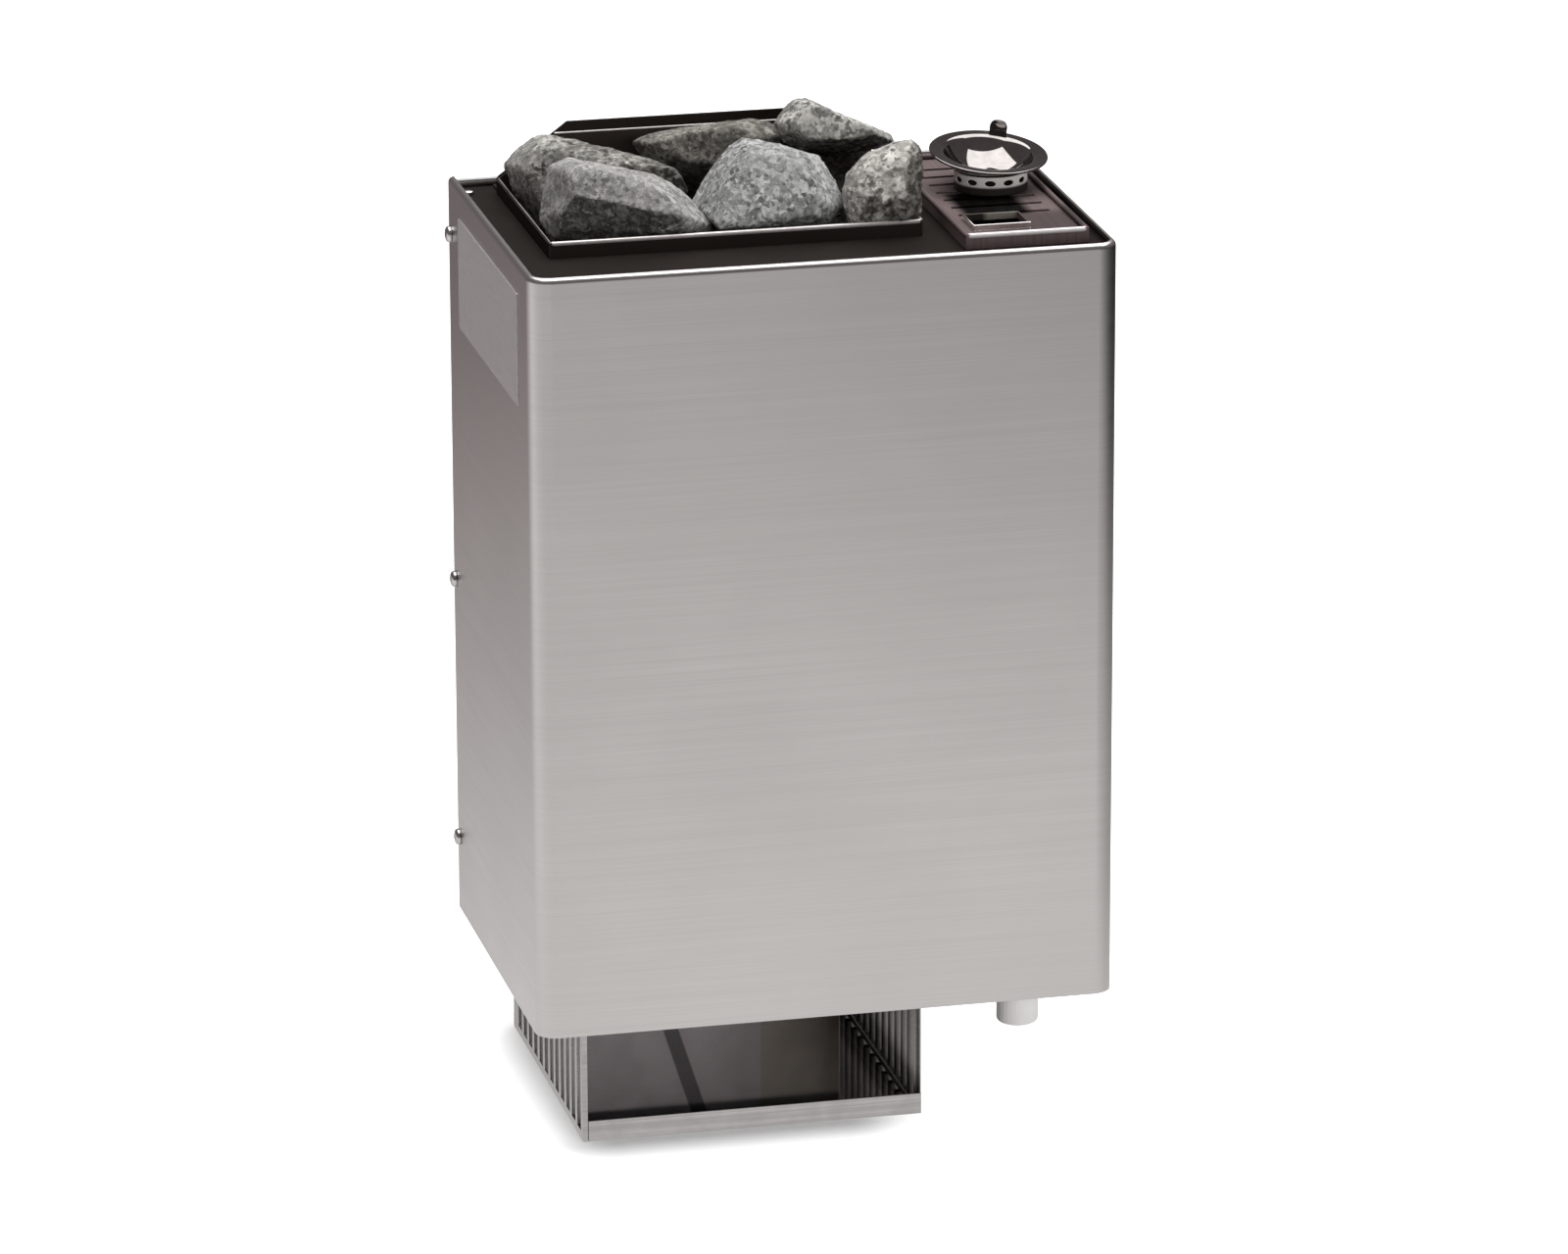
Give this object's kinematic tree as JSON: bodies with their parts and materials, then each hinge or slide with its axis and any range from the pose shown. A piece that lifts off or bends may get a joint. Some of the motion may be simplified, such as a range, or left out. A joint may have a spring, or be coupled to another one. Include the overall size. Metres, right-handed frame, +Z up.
{
  "type": "sauna heater",
  "caption": "Compact wall-mounted electric sauna heater: brushed steel casing, stone container with guard, steam evaporator with aroma dish, slotted intake duct and drain cap.",
  "frame": {"origin": "on the floor plane of the intake duct's underside, under the middle of the bounding box", "axes": "+Z up, the front faces -Y, +X is to the right as seen from the front"},
  "size_m": [0.357, 0.257, 0.5943],
  "materials": {
    "brushed_casing": "brushed, satin",
    "galvanised_sheet": "galvanised, dull",
    "black_sheet": "black heat-proof paint, satin",
    "dark_sheet": "dark polished stainless sheet",
    "polished_sheet": "mirror polished",
    "screw_steel": "bright plated",
    "element_tube": "heat-tinted tube",
    "stove_stone": "rough speckled grey",
    "cap_plastic": "white, matt",
    "gland_plastic": "dark grey, matt",
    "seal_rubber": "matt",
    "ceramic": "unglazed off-white"
  },
  "bodies": {
    "heater": {"outer_casing": "brushed_casing", "duct_floor": "brushed_casing", "rear_panel": "galvanised_sheet", "left_support_angle": "galvanised_sheet", "right_support_angle": "galvanised_sheet", "heating_chamber": "galvanised_sheet", "partition_wall": "galvanised_sheet", "heat_shield": "galvanised_sheet", "duct_left_wall": "galvanised_sheet", "duct_right_wall": "galvanised_sheet", "duct_rear_wall": "galvanised_sheet", "bottom_plate": "galvanised_sheet", "terminal_shelf": "galvanised_sheet", "hanging_rail": "galvanised_sheet", "spacer_rail": "galvanised_sheet", "top_plate": "black_sheet", "rear_guard": "black_sheet", "stone_container": "dark_sheet", "evaporator_tank": "polished_sheet", "drain_pipe": "polished_sheet", "side_screw_left_top": "screw_steel", "side_screw_left_middle": "screw_steel", "side_screw_left_bottom": "screw_steel", "side_screw_right_top": "screw_steel", "side_screw_right_middle": "screw_steel", "side_screw_right_bottom": "screw_steel", "top_screw_left": "screw_steel", "top_screw_right": "screw_steel", "evaporator_nut_1": "screw_steel", "evaporator_nut_2": "screw_steel", "drain_lock_nut": "screw_steel", "heating_element_1": "element_tube", "heating_element_2": "element_tube", "heating_element_3": "element_tube", "evaporator_element": "element_tube", "stone_grate": "element_tube", "stone_front_left": "stove_stone", "stone_rear_left": "stove_stone", "stone_front_middle": "stove_stone", "stone_front_right": "stove_stone", "stone_rear_right": "stove_stone", "stone_rear_middle": "stove_stone", "stone_low_front_left": "stove_stone", "stone_low_front_middle": "stove_stone", "stone_low_front_right": "stove_stone", "stone_low_rear_left": "stove_stone", "stone_low_rear_middle": "stove_stone", "stone_low_rear_right": "stove_stone", "cable_gland": "gland_plastic", "gland_nut": "gland_plastic", "terminal_block": "ceramic", "thermal_cutout": "ceramic"},
    "steam_cover": {"steam_cover": "dark_sheet", "dish_collar": "polished_sheet"},
    "aroma_dish": {"aroma_dish": "polished_sheet"},
    "drain_seal": {"drain_seal": "seal_rubber"},
    "drain_cap": {"drain_cap": "cap_plastic"}
  },
  "joints": [
    {"name": "steam_cover_lift", "type": "slide", "parent": "heater", "child": "steam_cover", "axis": [0, 0, 1], "range_m": [0, 0.1]},
    {"name": "aroma_dish_lift", "type": "slide", "parent": "steam_cover", "child": "aroma_dish", "axis": [0, 0, 1], "range_m": [0, 0.06]},
    {"name": "drain_seal_travel", "type": "slide", "parent": "heater", "child": "drain_seal", "axis": [0, 0, -1], "range_m": [0, 0.008]},
    {"name": "drain_cap_turn", "type": "hinge", "parent": "drain_seal", "child": "drain_cap", "pos_m": [0.126, -0.08646, 0.055], "axis": [0, 0, -1], "range_deg": [0, 1440]}
  ],
  "couplings": [
    {"joint": "drain_seal_travel", "follows": "drain_cap_turn", "m_per_rad": 0.00031831}
  ]
}
